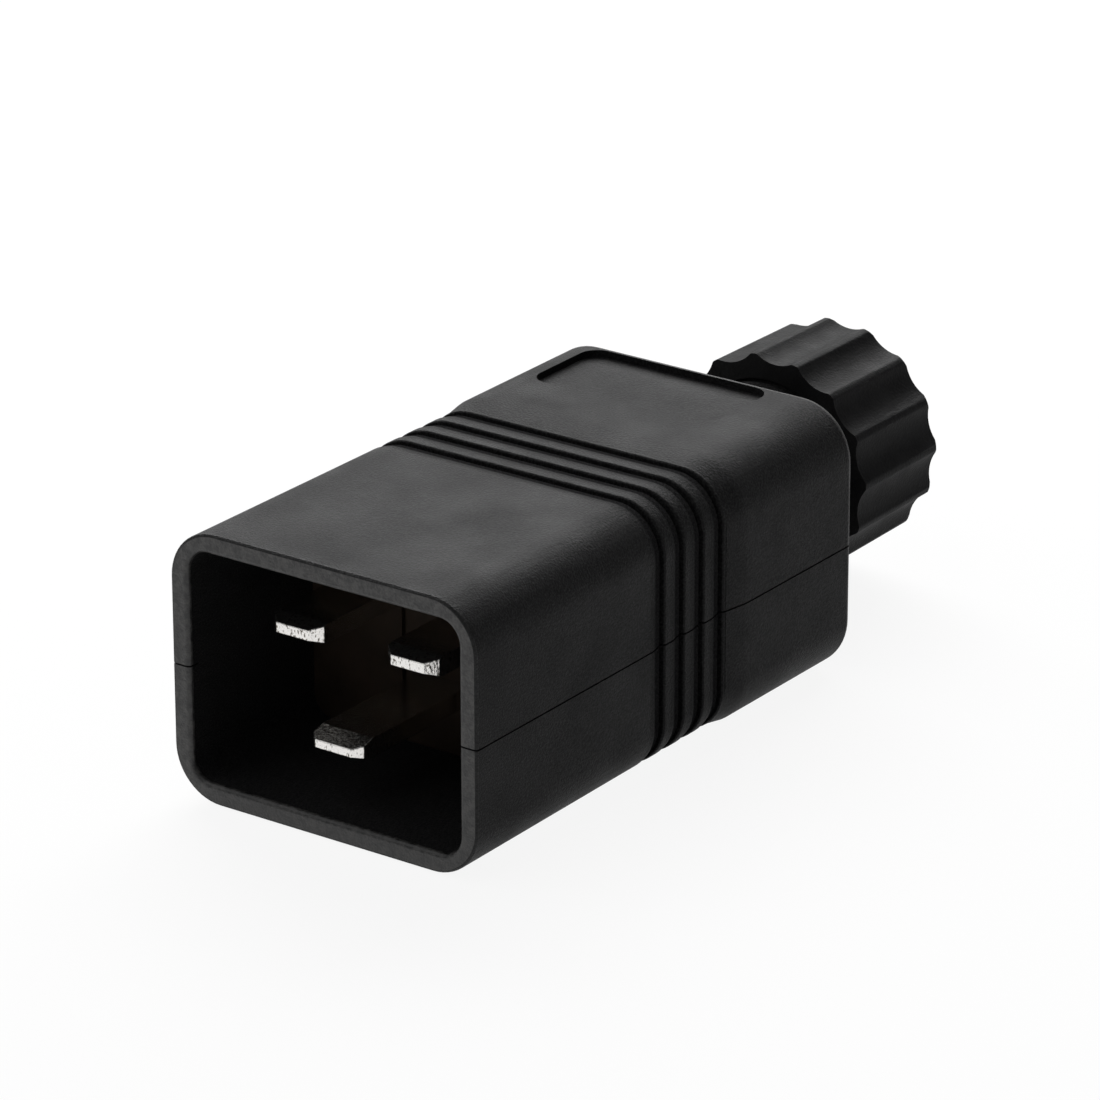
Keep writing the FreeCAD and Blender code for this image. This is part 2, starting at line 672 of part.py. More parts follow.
def blade(name, right, up, tip, tip_corner, tip_height, taper, cage):
    """A flat blade with a wedge-shaped point, a shoulder in the block and a wider tail."""
    body = new_body(f"{name}_blade")
    flat = section(body, f"{name}_tip", tip, right, up)
    rectangle(flat, "pin_width / 2", f"{tip_height} / 2")
    full = section(body, f"{name}_full", f"{tip} + {taper}", right, up)
    rectangle(full, "pin_width / 2", "pin_thickness / 2")
    loft(body, f"{name}_point", [flat, full])
    shank = section(body, f"{name}_shank", f"{tip} + {taper}", right, up)
    rectangle(shank, "pin_width / 2", "pin_thickness / 2")
    pad_back(body, shank, f"{SHOULDER} - {tip} - {taper}")
    tail = section(body, f"{name}_tail", SHOULDER, right, up)
    rectangle(tail, "tail_width / 2", "pin_thickness / 2")
    pad_back(body, tail, f"{cage} + cage_length + tail_overhang - {SHOULDER}")

    def is_tip_corner(edge):
        return lies_at_station(edge, size(tip)) and edge.BoundBox.ZLength > edge.BoundBox.XLength
    bevel_edges(body, body.Tip, f"{name}_tip_corners", tip_corner, is_tip_corner)
    return finish(body, f"{name}_pin")


def window_floor(up):
    """Height of the inside floor of a cage, just under the blade's tail."""
    return f"{up} - pin_thickness / 2"


def clamp_cage(name, right, up, cage):
    """A square sleeve round the tail, with a screw hole in its top."""
    body = new_body(f"{name}_sleeve")
    middle = f"{window_floor(up)} + cage_window / 2"
    outside = section(body, f"{name}_cage_outside", cage, right, middle)
    rectangle(outside, "cage_width / 2", "cage_window / 2 + cage_wall")
    pad_back(body, outside, "cage_length")
    window = section(body, f"{name}_cage_window", cage, right, middle)
    rectangle(window, "tail_width / 2", "cage_window / 2")
    pocket(body, window, "cage_length")
    top = f"{window_floor(up)} + cage_window + cage_wall"
    hole = plan(body, f"{name}_cage_hole", top, right, f"{cage} + cage_length / 2")
    circle(hole, "terminal_screw + terminal_play")
    pocket(body, hole, "cage_wall + terminal_play")
    return finish(body, f"{name}_cage")


def pressure_plate(name, right, up, cage):
    """The small plate that the terminal screw presses on the wire."""
    body = new_body(f"{name}_presser")
    level = f"{window_floor(up)} + cage_window + cage_wall - terminal_reach - plate_thickness"
    sketch = plan(body, f"{name}_plate_plan", level, right, f"{cage} + cage_length / 2")
    rectangle(sketch, "plate_width / 2", "plate_length / 2")
    pad_up(body, sketch, "plate_thickness")
    return finish(body, f"{name}_plate")


def slotted_screw(name, right, back, seat, shank_radius, reach, head_radius, head_height, upward):
    """A screw with a round slotted head: the seat is the head's underside, the shank runs away from it."""
    body = new_body(name)
    shank_end = f"{seat} + {reach}" if upward else f"{seat} - {reach}"
    head_start = f"{seat} - {head_height}" if upward else seat
    slot_start = head_start if upward else f"{seat} + {head_height} - slot_depth"
    shank = plan(body, f"{name}_shank", seat if upward else shank_end, right, back)
    circle(shank, shank_radius)
    pad_up(body, shank, reach)
    head = plan(body, f"{name}_head", head_start, right, back)
    circle(head, head_radius)
    pad_up(body, head, head_height)
    slot = plan(body, f"{name}_slot", f"{slot_start} + slot_depth", right, back)
    rectangle(slot, f"{head_radius} * 2", "slot_width / 2")
    pocket(body, slot, "slot_depth")
    return body


def terminal_screws():
    screws = []
    for name, right, up, *_, cage in blade_places():
        seat = f"{window_floor(up)} + cage_window + cage_wall + terminal_lift"
        back = f"{cage} + cage_length / 2"
        screws.append(slotted_screw(f"{name}_screw", right, back, seat, "terminal_screw",
                                    "terminal_reach + terminal_lift", "terminal_head",
                                    "terminal_head_height", upward=False))
    return finish(group("terminal_screw_group", screws), "terminal_screws")


def case_screws():
    seat = f"-({REAR_HALF_HEIGHT}) + head_seat"
    screws = []
    for side, right in (("left", "-boss_offset"), ("right", "boss_offset")):
        screws.append(slotted_screw(f"{side}_case_screw", right, "boss_station", seat, "case_screw",
                                    "case_screw_length", "case_head", "case_head_height", upward=True))
    return finish(group("case_screw_group", screws), "case_screws")


# Gland

def flute(body):
    """One flute: a long cylinder laid along the nut's slope, which cuts a shallow hollow."""
    slope = "(nut_front_radius - nut_rear_radius) / nut_length"
    behind = body.newObject("PartDesign::Plane", "flute_plane")
    behind.AttachmentSupport = (origin_feature(body, "XZ_Plane"), [""])
    behind.MapMode = "FlatFace"
    bind(behind, "AttachmentOffset.Base.z", f"-({NUT_REAR} + cutter_margin)")
    bind(behind, "AttachmentOffset.Rotation.Angle", "flute_turn + 180 / flute_count")
    cutter = body.newObject("PartDesign::SubtractiveCylinder", "flute")
    cutter.AttachmentSupport = (behind, [""])
    cutter.MapMode = "FlatFace"
    # The axis that the cutter leans about. Its angle is bound below.
    lean = FreeCAD.Rotation(FreeCAD.Vector(0, 1, 0), QUARTER_TURN)
    cutter.AttachmentOffset = FreeCAD.Placement(FreeCAD.Vector(), lean)
    bind(cutter, "AttachmentOffset.Base.x",
         f"nut_rear_radius - cutter_margin * {slope} - flute_depth + flute_radius")
    bind(cutter, "AttachmentOffset.Rotation.Angle", f"atan({slope})")
    bind(cutter, "Radius", "flute_radius")
    bind(cutter, "Height", "nut_length + cutter_margin * 2")
    return cutter


def gland_nut():
    """A tapered nut with a bore for the spigot, a cable hole in its rear wall and flutes all round."""
    body = new_body("gland_nut_body")
    bevel_start = f"{NUT_REAR} - nut_bevel"
    corners = (
        ("nut_front", "nut_bore"),
        ("nut_front", "nut_front_radius"),
        (bevel_start, "nut_rear_radius"),
        (NUT_REAR, "nut_rear_radius - nut_bevel"),
        (NUT_REAR, "nut_hole + nut_bevel"),
        (bevel_start, "nut_hole"),
        (NUT_SEAT, "nut_hole"),
        (NUT_SEAT, "nut_bore"),
    )
    turn(body, half_profile(body, "nut_profile", corners))
    flutes = ring_pattern(body, flute(body), "flute_count")
    crest_length = size("nut_length - nut_bevel * 2")
    root_radius = size("nut_bore + flute_depth")

    def is_crest(edge):
        return edge.BoundBox.YLength > crest_length and end_radius(edge) > root_radius
    round_edges(body, flutes, "crest_edges", "crest_round", is_crest)
    return finish(body, "gland_nut")


def clamp_collet():
    """A flanged sleeve with slit fingers and two keys."""
    body = new_body("clamp_collet_body")
    corners = (
        ("collet_start", "collet_inner"),
        ("collet_start", "collet_outer"),
        (FLANGE_FRONT, "collet_outer"),
        (FLANGE_FRONT, "flange_radius"),
        (SLIP_FRONT, "flange_radius"),
        (SLIP_FRONT, "collet_inner"),
    )
    turn(body, half_profile(body, "collet_profile", corners))
    middle = "(key_reach + collet_inner) / 2"
    for side, right in (("left", f"-{middle}"), ("right", middle)):
        key = section(body, f"{side}_key", "key_start", right, "-parting_drop")
        rectangle(key, "(key_reach - collet_inner) / 2", "key_width / 2")
        pad_back(body, key, "key_length")
    slit = section(body, "slit_section", "collet_start", up="(collet_inner + collet_outer) / 2")
    rectangle(slit, "slit_width / 2", "collet_outer - collet_inner")
    ring_pattern(body, pocket(body, slit, "slit_length"), "slit_count")
    return finish(body, "clamp_collet")


def cable_seal():
    """A soft sleeve that grips the cable."""
    body = new_body("cable_seal_body")
    seal_end = "(seal_start + seal_length)"
    corners = (
        ("seal_start", "seal_bore"),
        ("seal_start", "seal_outer"),
        (seal_end, "seal_outer"),
        (seal_end, "seal_bore"),
    )
    turn(body, half_profile(body, "seal_profile", corners))
    return finish(body, "cable_seal")


def slip_ring():
    """A thin flat ring that lets the nut turn against the collet."""
    body = new_body("slip_ring_body")
    corners = (
        (SLIP_FRONT, "collet_inner"),
        (SLIP_FRONT, "flange_radius"),
        (NUT_SEAT, "flange_radius"),
        (NUT_SEAT, "collet_inner"),
    )
    turn(body, half_profile(body, "slip_profile", corners))
    return finish(body, "slip_ring")


def build_plug():
    form = housing_form()
    lower_space, upper_space = half_spaces()
    pieces = [upper_shell(form, upper_space), lower_shell(form, lower_space), contact_block()]
    for name, right, up, tip, tip_corner, tip_height, taper, cage in blade_places():
        pieces.append(blade(name, right, up, tip, tip_corner, tip_height, taper, cage))
        pieces.append(clamp_cage(name, right, up, cage))
        pieces.append(pressure_plate(name, right, up, cage))
    pieces += [terminal_screws(), case_screws(), gland_nut(), clamp_collet(), cable_seal(), slip_ring()]
    return pieces


def check(pieces):
    """Stop at anything that failed to build."""
    for thing in Plug.document.Objects:
        if {"Invalid", "Error"} & set(thing.State):
            raise RuntimeError(f"{thing.Name} failed: {thing.State}")
    for piece in pieces:
        if piece.Shape.isNull() or not piece.Shape.isValid():
            raise RuntimeError(f"{piece.Label} has no valid shape")


def write(pieces):
    os.makedirs("parts", exist_ok=True)
    for piece in pieces:
        piece.Shape.exportStep(os.path.join("parts", f"{piece.Label}.step"))
        solids = len(piece.Shape.Solids)
        print(f"{piece.Label}: {solids} solid(s), {piece.Shape.Volume:.1f} mm3")


def main():
    start_document()
    pieces = build_plug()
    Plug.document.recompute()
    check(pieces)
    write(pieces)


main()
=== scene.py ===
import json
import math

import bmesh
import bpy
from mathutils import Euler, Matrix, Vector


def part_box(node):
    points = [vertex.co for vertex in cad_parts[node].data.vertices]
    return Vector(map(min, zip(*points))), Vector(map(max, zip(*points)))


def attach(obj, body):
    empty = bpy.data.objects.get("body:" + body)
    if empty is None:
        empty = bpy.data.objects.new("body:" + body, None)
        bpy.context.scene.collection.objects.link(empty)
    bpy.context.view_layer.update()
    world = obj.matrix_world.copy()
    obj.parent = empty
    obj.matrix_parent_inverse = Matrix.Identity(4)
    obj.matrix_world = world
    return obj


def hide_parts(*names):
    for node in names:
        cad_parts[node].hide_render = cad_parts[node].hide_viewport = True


# Looks of a rewireable power plug: grained black mouldings, plated blades, a screw gland
# with its thread, soft studio light and a pale floor.

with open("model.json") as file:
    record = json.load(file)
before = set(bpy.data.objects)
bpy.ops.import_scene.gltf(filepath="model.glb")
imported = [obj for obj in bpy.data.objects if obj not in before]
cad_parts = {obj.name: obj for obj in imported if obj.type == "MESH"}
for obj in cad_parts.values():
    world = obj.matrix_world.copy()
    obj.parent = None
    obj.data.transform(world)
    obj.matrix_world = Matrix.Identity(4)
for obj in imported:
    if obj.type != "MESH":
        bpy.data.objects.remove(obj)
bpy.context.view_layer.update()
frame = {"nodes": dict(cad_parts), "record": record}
NODES = frame["nodes"]
MM = 0.001
ALONG = (0.0, 1.0, 0.0)
AXIS_HEIGHT = sum(corner.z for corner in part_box("slip_ring")) / 2

# Camera, fitted to the photograph's viewing angle.
CAMERA_PLACE = Vector((0.319479, -0.450888, 0.239103))
CAMERA_TURN = (67.8725, 0.1139, 35.7176)
CAMERA_LENS = 206.42
SENSOR_WIDTH = 36.0

# Studio.
FLOOR_RADIUS = 12.0
FLOOR_EDGES = 96
FLOOR_GAP = 0.02 * MM
FLOOR_COLOUR = (0.9, 0.9, 0.9, 1.0)
FLOOR_GLOW_SHARE = 0.9
WORLD_COLOUR = (0.11, 0.11, 0.113, 1.0)
WORLD_STRENGTH = 1.0
LIGHT_TARGET = Vector((0.0, 0.0, 0.013))

# Merging and shading of the mouldings and blades.
MERGE_GAP = 0.001 * MM
FLAT_ANGLE = math.radians(0.4)
SHARP_ANGLE = math.radians(50.0)
FLAT_WEIGHT = 50

# Ribs of the grip, with stations measured from the mouth and bands from each slope's start.
GRIP = (27.0 * MM, 39.2 * MM)
STATION_GAP = 0.02 * MM
STATION_DIGITS = 6
SLOPE_LENGTH = 1.2 * MM
SLOPE_TILTS = (0.12, 0.3)
SLOPE_END_ROUND = 0.1 * MM
SLOPE_END_STEPS = 3
WALL_TILT = -0.9
RIB_BANDS = {"rib_turn": -0.45 * MM, "rib_fall": -0.15 * MM, "rib_foot": 0.15 * MM,
             "groove_plastic": 0.45 * MM}
GROOVE_END = 1.84 * MM

# Other edges of the housing.
CREASE_ANGLES = (math.radians(30.0), math.radians(60.0))
LIP_ROUND = 0.06 * MM
LIP_STEPS = 2
RIM_EDGE_ROUND = 0.06 * MM
RIM_EDGE_STEPS = 2
RIM_EDGE_REACH = 0.25 * MM
RIM_REACH = 0.55 * MM
REAR_EDGE = (59.05 * MM, 60.05 * MM)
OUTWARD = 0.1 * MM

# Blades.
BLADE_EDGE_ANGLE = math.radians(12.0)
BLADE_EDGE_ROUND = 0.1 * MM
BLADE_EDGE_STEPS = 3
BLADE_POINT_LENGTH = 2.2 * MM

# Gloss of the grained moulding: higher on the rim's and the rear face's edges, and fading
# along the ribs into the matt grooves.
GRAINED_SHINES = {"housing_plastic": 0.06, "rim_edge": 0.2, "rib_turn": 0.045, "rib_fall": 0.03,
                  "rib_foot": 0.015, "groove_plastic": 0.0}
SHELL_FINISHES = [*GRAINED_SHINES, "rim_plastic"]

# Thread on the spigot.
THREAD_PITCH = 1.5 * MM
THREAD_ROOT = 8.45 * MM
THREAD_CREST = 8.93 * MM
THREAD_FOOT = 1.1 * MM
THREAD_FLAT = 0.25 * MM
THREAD_LENGTH = 12.4 * MM
THREAD_RUNOUT = 2.2 * MM
THREAD_STEPS_PER_TURN = 72


# Materials

class Finish:
    """A material while it is wired: its shader, its nodes and the piece's own coordinates."""

    def __init__(self, name):
        self.material = bpy.data.materials.new(name)
        self.material.use_nodes = True
        self.tree = self.material.node_tree
        self.shader = self.tree.nodes["Principled BSDF"]
        self.place = self.add("ShaderNodeTexCoord").outputs["Object"]

    def add(self, kind, **settings):
        """A new node with some settings."""
        node = self.tree.nodes.new(kind)
        for name, value in settings.items():
            setattr(node, name, value)
        return node

    def join(self, source, target):
        """Link an output to an input."""
        self.tree.links.new(source, target)

    def socket(self, name):
        """A socket of the shader, named with underscores for spaces."""
        return self.shader.inputs[name.replace("_", " ")]

    def set(self, **values):
        """Give the shader's own sockets constant values."""
        for name, value in values.items():
            self.socket(name).default_value = value

    def drive(self, **patterns):
        """Let patterns drive the shader's sockets."""
        for name, pattern in patterns.items():
            self.join(pattern, self.socket(name))

    def noise(self, size, detail=2.0, roughness=0.5, stretch=(1.0, 1.0, 1.0)):
        """Noise whose grains are about as large as size, in metres."""
        mapping = self.add("ShaderNodeMapping")
        mapping.inputs["Scale"].default_value = stretch
        self.join(self.place, mapping.inputs["Vector"])
        node = self.add("ShaderNodeTexNoise")
        node.inputs["Scale"].default_value = 1.0 / size
        node.inputs["Detail"].default_value = detail
        node.inputs["Roughness"].default_value = roughness
        self.join(mapping.outputs["Vector"], node.inputs["Vector"])
        return node.outputs["Fac"]

    def ahead_of(self, place, reach):
        """1 in front of a place along the plug, fading to 0 over a reach behind it."""
        parts = self.add("ShaderNodeSeparateXYZ")
        self.join(self.place, parts.inputs["Vector"])
        return self.spread(parts.outputs["Y"], low=1.0, high=0.0, start=place, end=place + reach)

    def times(self, first, second):
        """Multiply two grey patterns."""
        node = self.add("ShaderNodeMath", operation="MULTIPLY")
        self.join(first, node.inputs[0])
        self.join(second, node.inputs[1])
        return node.outputs["Value"]

    def spread(self, source, low, high, start=0.3, end=0.7):
        """Map a grey pattern to a range of values."""
        node = self.add("ShaderNodeMapRange")
        node.inputs["From Min"].default_value = start
        node.inputs["From Max"].default_value = end
        node.inputs["To Min"].default_value = low
        node.inputs["To Max"].default_value = high
        self.join(source, node.inputs["Value"])
        return node.outputs["Result"]

    def shade(self, source, low, high, start=0.3, end=0.7):
        """Map a grey pattern to a range of colours."""
        node = self.add("ShaderNodeValToRGB")
        node.color_ramp.elements[0].position = start
        node.color_ramp.elements[0].color = (*low, 1.0)
        node.color_ramp.elements[1].position = end
        node.color_ramp.elements[1].color = (*high, 1.0)
        self.join(source, node.inputs["Fac"])
        return node.outputs["Color"]

    def bump(self, height, depth, below=None):
        """Raise a grey pattern by a depth in metres, on top of an earlier bump if there is one."""
        node = self.add("ShaderNodeBump")
        node.inputs["Strength"].default_value = 1.0
        node.inputs["Distance"].default_value = depth
        self.join(height, node.inputs["Height"])
        if below is not None:
            self.join(below, node.inputs["Normal"])
        return node.outputs["Normal"]


def grained_plastic(name, shine):
    """Black moulding with a spark-eroded grain that is paler on its high spots."""
    finish = Finish(name)
    grain = finish.noise(size=0.2 * MM, detail=2.0, roughness=0.6)
    cloud = finish.noise(size=6.0 * MM, detail=3.0)
    colour = finish.shade(grain, low=(0.009, 0.009, 0.0093), high=(0.0235, 0.0235, 0.0238),
                          start=0.4, end=0.7)
    finish.set(Specular_IOR_Level=shine)
    finish.drive(Base_Color=colour, Roughness=finish.spread(cloud, low=0.48, high=0.6),
                 Normal=finish.bump(grain, depth=0.1 * MM))
    return finish.material


def rim_plastic():
    """The shroud's front face, smoother than the grained sides and worn a little glossy."""
    finish = Finish("rim_plastic")
    grain = finish.noise(size=0.22 * MM, detail=2.0)
    cloud = finish.noise(size=0.9 * MM, detail=5.0, roughness=0.7)
    colour = finish.shade(cloud, low=(0.003, 0.003, 0.003), high=(0.042, 0.0405, 0.039),
                          start=0.42, end=0.6)
    finish.set(Specular_IOR_Level=0.5)
    finish.drive(Base_Color=colour, Roughness=finish.spread(cloud, low=0.34, high=0.5),
                 Normal=finish.bump(grain, depth=0.05 * MM))
    return finish.material


def nut_plastic():
    """Black moulding with a shallower and wider grain than the housing's."""
    finish = Finish("nut_plastic")
    cloud = finish.noise(size=2.5 * MM, detail=3.0)
    grain = finish.noise(size=0.27 * MM, detail=2.0)
    colour = finish.shade(cloud, low=(0.0098, 0.0098, 0.0101), high=(0.0148, 0.0148, 0.0151))
    finish.set(Specular_IOR_Level=0.045)
    finish.drive(Base_Color=colour, Roughness=finish.spread(cloud, low=0.5, high=0.62),
                 Normal=finish.bump(grain, depth=0.06 * MM))
    return finish.material


def insert_plastic():
    """Brown-black moulding of the contact block."""
    finish = Finish("insert_plastic")
    cloud = finish.noise(size=4.0 * MM, detail=3.0)
    grain = finish.noise(size=0.2 * MM)
    colour = finish.shade(cloud, low=(0.021, 0.0145, 0.0105), high=(0.032, 0.0225, 0.016))
    finish.set(Specular_IOR_Level=0.1)
    finish.drive(Base_Color=colour, Roughness=finish.spread(cloud, low=0.5, high=0.62),
                 Normal=finish.bump(grain, depth=0.012 * MM))
    return finish.material


def plated_contact():
    """Bright nickel plate, smooth along the blades, dented and pitted at their points."""
    finish = Finish("plated_contact")
    dents = finish.noise(size=0.38 * MM, detail=3.0, roughness=0.65)
    pits = finish.noise(size=0.24 * MM, detail=2.0, stretch=(1.0, 1.0, 0.45))
    drag = finish.noise(size=0.12 * MM, detail=2.0, stretch=(1.0, 0.06, 1.0))
    point = finish.ahead_of(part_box("line_pin")[0].y + BLADE_POINT_LENGTH, BLADE_POINT_LENGTH)
    pitted = finish.times(finish.spread(pits, low=0.0, high=1.0, start=0.58, end=0.66), point)
    colour = finish.shade(pitted, low=(0.8, 0.785, 0.76), high=(0.16, 0.145, 0.125),
                          start=0.0, end=1.0)
    lines = finish.bump(drag, depth=0.0012 * MM)
    finish.set(Metallic=1.0)
    finish.drive(Base_Color=colour, Roughness=finish.spread(drag, low=0.16, high=0.24),
                 Normal=finish.bump(finish.times(dents, point), depth=0.085 * MM, below=lines))
    return finish.material


def terminal_brass():
    """Stamped brass, slightly dulled."""
    finish = Finish("terminal_brass")
    cloud = finish.noise(size=1.2 * MM, detail=3.0)
    drag = finish.noise(size=0.1 * MM, stretch=(0.08, 1.0, 1.0))
    colour = finish.shade(cloud, low=(0.5, 0.33, 0.11), high=(0.7, 0.5, 0.2))
    finish.set(Metallic=1.0)
    finish.drive(Base_Color=colour, Roughness=finish.spread(cloud, low=0.25, high=0.42),
                 Normal=finish.bump(drag, depth=0.006 * MM))
    return finish.material


def screw_steel():
    """Zinc-plated steel with a faintly uneven face."""
    finish = Finish("screw_steel")
    cloud = finish.noise(size=0.8 * MM, detail=3.0)
    colour = finish.shade(cloud, low=(0.48, 0.49, 0.5), high=(0.66, 0.66, 0.65))
    finish.set(Metallic=1.0)
    finish.drive(Base_Color=colour, Roughness=finish.spread(cloud, low=0.24, high=0.4),
                 Normal=finish.bump(cloud, depth=0.008 * MM))
    return finish.material


def collet_plastic():
    """Dark grey moulding of the clamp collet."""
    finish = Finish("collet_plastic")
    cloud = finish.noise(size=1.5 * MM)
    colour = finish.shade(cloud, low=(0.03, 0.03, 0.031), high=(0.042, 0.042, 0.043))
    finish.set(Specular_IOR_Level=0.35)
    finish.drive(Base_Color=colour, Roughness=finish.spread(cloud, low=0.42, high=0.55))
    return finish.material


def seal_rubber():
    """Soft black rubber with a dusty bloom."""
    finish = Finish("seal_rubber")
    cloud = finish.noise(size=1.0 * MM, detail=4.0)
    colour = finish.shade(cloud, low=(0.012, 0.012, 0.012), high=(0.022, 0.022, 0.022))
    finish.set(Specular_IOR_Level=0.25)
    finish.drive(Base_Color=colour, Roughness=finish.spread(cloud, low=0.7, high=0.85),
                 Normal=finish.bump(cloud, depth=0.02 * MM))
    return finish.material


def slip_plastic():
    """Smooth pale ring."""
    finish = Finish("slip_plastic")
    cloud = finish.noise(size=1.5 * MM)
    colour = finish.shade(cloud, low=(0.5, 0.48, 0.43), high=(0.58, 0.56, 0.51))
    finish.set(Specular_IOR_Level=0.5)
    finish.drive(Base_Color=colour, Roughness=finish.spread(cloud, low=0.3, high=0.4))
    return finish.material


def dress_nodes(materials):
    """Give every sub-part of the model the finish that its slot names."""
    for row in frame["record"]["subparts"]:
        mesh = NODES[row["node"]].data
        mesh.materials.clear()
        mesh.materials.append(materials[row["material_slot"]])


# Pieces

def new_piece(name, editor, body, slot, *finishes):
    """Make an object of an edited mesh, and let it ride on a body."""
    mesh = bpy.data.meshes.new(name)
    editor.to_mesh(mesh)
    editor.free()
    for finish in finishes:
        mesh.materials.append(finish)
    piece = bpy.data.objects.new(name, mesh)
    bpy.context.scene.collection.objects.link(piece)
    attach(piece, body)
    return piece


def merged_copy(node):
    """An editor on a copy of a sub-part, its loose triangles merged into whole faces."""
    mesh = NODES[node].data.copy()
    kept_normals = mesh.attributes.get("custom_normal")
    if kept_normals is not None:
        mesh.attributes.remove(kept_normals)
    editor = bmesh.new()
    editor.from_mesh(mesh)
    bpy.data.meshes.remove(mesh)
    bmesh.ops.remove_doubles(editor, verts=editor.verts, dist=MERGE_GAP)
    bmesh.ops.dissolve_limit(editor, angle_limit=FLAT_ANGLE, verts=editor.verts, edges=editor.edges)
    return editor


def bevel(editor, edges, width, steps):
    """Round some edges, to a width and in a number of steps."""
    bmesh.ops.bevel(editor, geom=edges, offset=width, offset_type="OFFSET", segments=steps, profile=0.5,
                    affect="EDGES", material=-1, clamp_overlap=True)


def fold(edge):
    """The angle between an edge's two faces, or 0 at an edge without two."""
    return edge.calc_face_angle(0.0)


def smooth_faces(editor):
    """Shade softly across every edge that isn't sharp."""
    for face in editor.faces:
        face.smooth = True
    for edge in editor.edges:
        edge.smooth = fold(edge) < SHARP_ANGLE


def keep_flats_flat(piece):
    """Let the large faces set the shading along their edges, so that only the roundings look round."""
    shading = piece.modifiers.new("flat_faces", "WEIGHTED_NORMAL")
    shading.mode = "FACE_AREA"
    shading.weight = FLAT_WEIGHT
    shading.keep_sharp = True


def creases(editor):
    """The edges along which two faces meet at a clear angle, but not squarely."""
    low, high = CREASE_ANGLES
    return [edge for edge in editor.edges if low < fold(edge) < high]


def length_along(face):
    """How far a face reaches along the plug."""
    stations = [vert.co.y for vert in face.verts]
    return max(stations) - min(stations)


def in_span(face, front, span):
    """Whether a face lies between two stations, measured from the mouth."""
    start, end = span
    return all(front + start < vert.co.y < front + end for vert in face.verts)


def rib_slopes(editor, front):
    """The faces in which the ribs of the grip fall towards the grooves behind them."""
    low, high = SLOPE_TILTS
    return [face for face in editor.faces if low < face.normal.y < high and in_span(face, front, GRIP)]


def slope_stations(slopes, pick):
    """Where along the plug the slopes start, picked with min, or stop, picked with max."""
    return [pick(vert.co.y for vert in face.verts) for face in slopes if length_along(face) > SLOPE_LENGTH]


def slope_ends(slopes):
    """The edges that run round the plug where the slopes meet the grooves."""
    stations = slope_stations(slopes, max)

    def at_a_station(edge):
        return any(all(abs(vert.co.y - station) < STATION_GAP for vert in edge.verts) for station in stations)

    return list({edge: True for face in slopes for edge in face.edges if at_a_station(edge)})


def faces_outward(face):
    """Whether a face looks away from the cable's axis."""
    middle = face.calc_center_median()
    return face.normal.x * middle.x + face.normal.z * (middle.z - AXIS_HEIGHT) > OUTWARD


def cut_rib_bands(editor, starts):
    """Divide the ribs into bands, in which their gloss fades towards the grooves."""
    for start in starts:
        for offset in RIB_BANDS.values():
            skin = [face for face in editor.faces if faces_outward(face)]
            parts = {part: True for face in skin for part in (*face.verts, *face.edges, face)}
            bmesh.ops.bisect_plane(editor, geom=list(parts), plane_co=(0.0, start + offset, 0.0),
                                   plane_no=ALONG)


def shell_finish(face, front, starts):
    """The name of the finish on a face of the housing."""
    finish = "housing_plastic"
    if all(vert.co.y < front + RIM_REACH for vert in face.verts):
        finish = "rim_edge" if faces_outward(face) else "rim_plastic"
    elif in_span(face, front, REAR_EDGE) and faces_outward(face):
        finish = "rim_edge"
    elif in_span(face, front, GRIP) and face.normal.y < WALL_TILT:
        finish = "groove_plastic"
    elif faces_outward(face):
        for start in starts:
            along = face.calc_center_median().y - start
            for name, offset in RIB_BANDS.items():
                if offset < along < GROOVE_END:
                    finish = name
    return finish


def soft_shell(node, materials):
    """A half of the housing with rounded ribs, softened edges and a smoother front face."""
    editor = merged_copy(node)
    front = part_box(node)[0].y

    def at_rim(edge):
        return all(vert.co.y < front + RIM_EDGE_REACH for vert in edge.verts)

    slopes = rib_slopes(editor, front)
    starts = sorted({round(station, STATION_DIGITS) for station in slope_stations(slopes, min)})
    bevel(editor, slope_ends(slopes), SLOPE_END_ROUND, SLOPE_END_STEPS)
    cut_rib_bands(editor, starts)
    bevel(editor, [edge for edge in creases(editor) if not at_rim(edge)], LIP_ROUND, LIP_STEPS)
    bevel(editor, [edge for edge in creases(editor) if at_rim(edge)], RIM_EDGE_ROUND, RIM_EDGE_STEPS)
    for face in editor.faces:
        face.material_index = SHELL_FINISHES.index(shell_finish(face, front, starts))
    smooth_faces(editor)
    finishes = [materials[name] for name in SHELL_FINISHES]
    piece = new_piece(node + "_moulding", editor, "housing", "housing_plastic", *finishes)
    keep_flats_flat(piece)
    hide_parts(node)


def soft_nut(finish):
    """The gland nut, its crests and rear edges shaded round."""
    editor = merged_copy("gland_nut")
    smooth_faces(editor)
    piece = new_piece("gland_nut_moulding", editor, "gland_nut", "nut_plastic", finish)
    keep_flats_flat(piece)
    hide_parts("gland_nut")


def soft_blade(node, finish):
    """A blade with the small roundings of stamping on its edges."""
    editor = merged_copy(node)
    edges = [edge for edge in editor.edges if fold(edge) > BLADE_EDGE_ANGLE]
    bevel(editor, edges, BLADE_EDGE_ROUND, BLADE_EDGE_STEPS)
    smooth_faces(editor)
    piece = new_piece(node + "_plated", editor, "housing", "plated_contact", finish)
    keep_flats_flat(piece)
    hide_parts(node)


